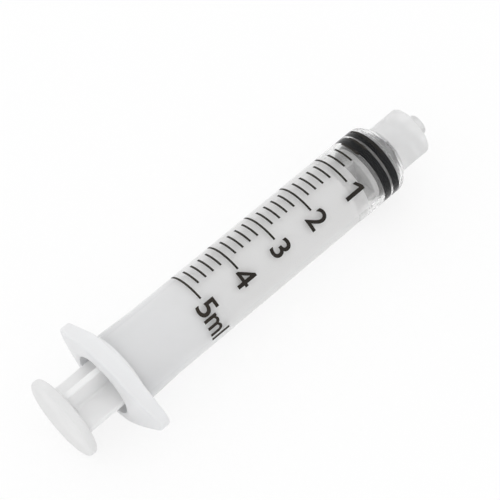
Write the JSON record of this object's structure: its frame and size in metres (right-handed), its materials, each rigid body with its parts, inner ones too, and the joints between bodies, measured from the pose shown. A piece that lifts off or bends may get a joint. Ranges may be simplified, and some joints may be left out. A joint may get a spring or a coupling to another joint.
{
  "type": "luer lock syringe",
  "caption": "Small plastic syringe with a luer lock tip, clear scaled barrel with finger flange, black rubber stopper and a push-pull plunger rod.",
  "frame": {"origin": "middle of the male luer tip's end face, on the syringe's axis", "axes": "+X along the axis out of the luer tip, +Z out of the side that carries the scale, +Y along the finger flange"},
  "size_m": [0.0876, 0.0282, 0.017],
  "materials": {
    "clear_plastic": "clear moulded polypropylene, slightly milky",
    "black_rubber": "satin",
    "white_plastic": "satin, slightly translucent"
  },
  "bodies": {
    "barrel": {"barrel": "clear_plastic"},
    "stopper": {"stopper": "black_rubber"},
    "plunger_rod": {"plunger_rod": "white_plastic"}
  },
  "joints": [
    {"name": "plunger_slide", "type": "slide", "parent": "barrel", "child": "stopper", "axis": [-1, 0, 0], "range_m": [0, 0.0565]},
    {"name": "rod_swivel", "type": "hinge", "parent": "stopper", "child": "plunger_rod", "pos_m": [-0.0145, 0, 0], "axis": [1, 0, 0], "continuous": true}
  ]
}
